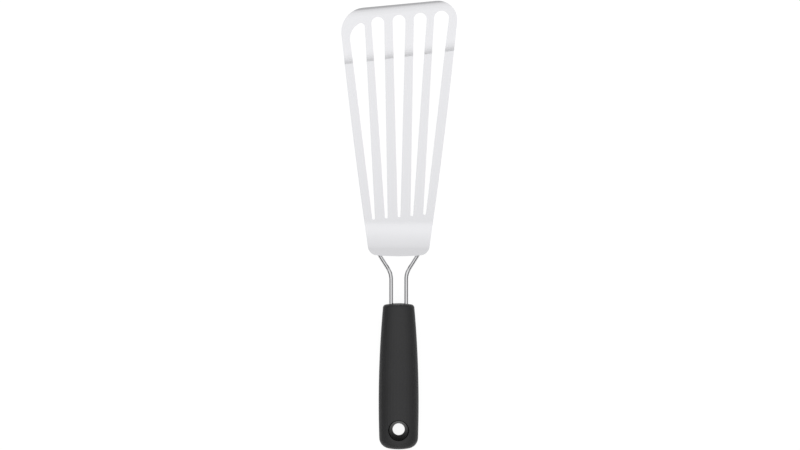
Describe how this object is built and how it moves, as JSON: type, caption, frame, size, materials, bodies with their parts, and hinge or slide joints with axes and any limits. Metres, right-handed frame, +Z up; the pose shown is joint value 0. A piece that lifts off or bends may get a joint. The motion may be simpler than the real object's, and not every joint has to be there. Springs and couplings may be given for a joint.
{
  "type": "fish spatula",
  "caption": "Slotted fish spatula: a thin springy steel blade with a slanted edge and crease, a bent wire shank and a soft-grip handle with a hang hole.",
  "frame": {"origin": "centre of the bounding box, on the table on which the spatula lies", "axes": "+Y from the handle towards the leading edge of the blade, +Z up, +X to the side of the long corner"},
  "size_m": [0.0848, 0.3297, 0.038],
  "materials": {
    "blade_steel": "satin",
    "wire_steel": "polished",
    "weld_steel": "dull",
    "core_plastic": "gloss",
    "soft_grip": "soft matt"
  },
  "bodies": {
    "root": {"blade": "blade_steel", "shank_wire": "wire_steel", "weld_beads": "weld_steel", "handle_core": "core_plastic", "grip_sleeve": "soft_grip"}
  },
  "joints": []
}
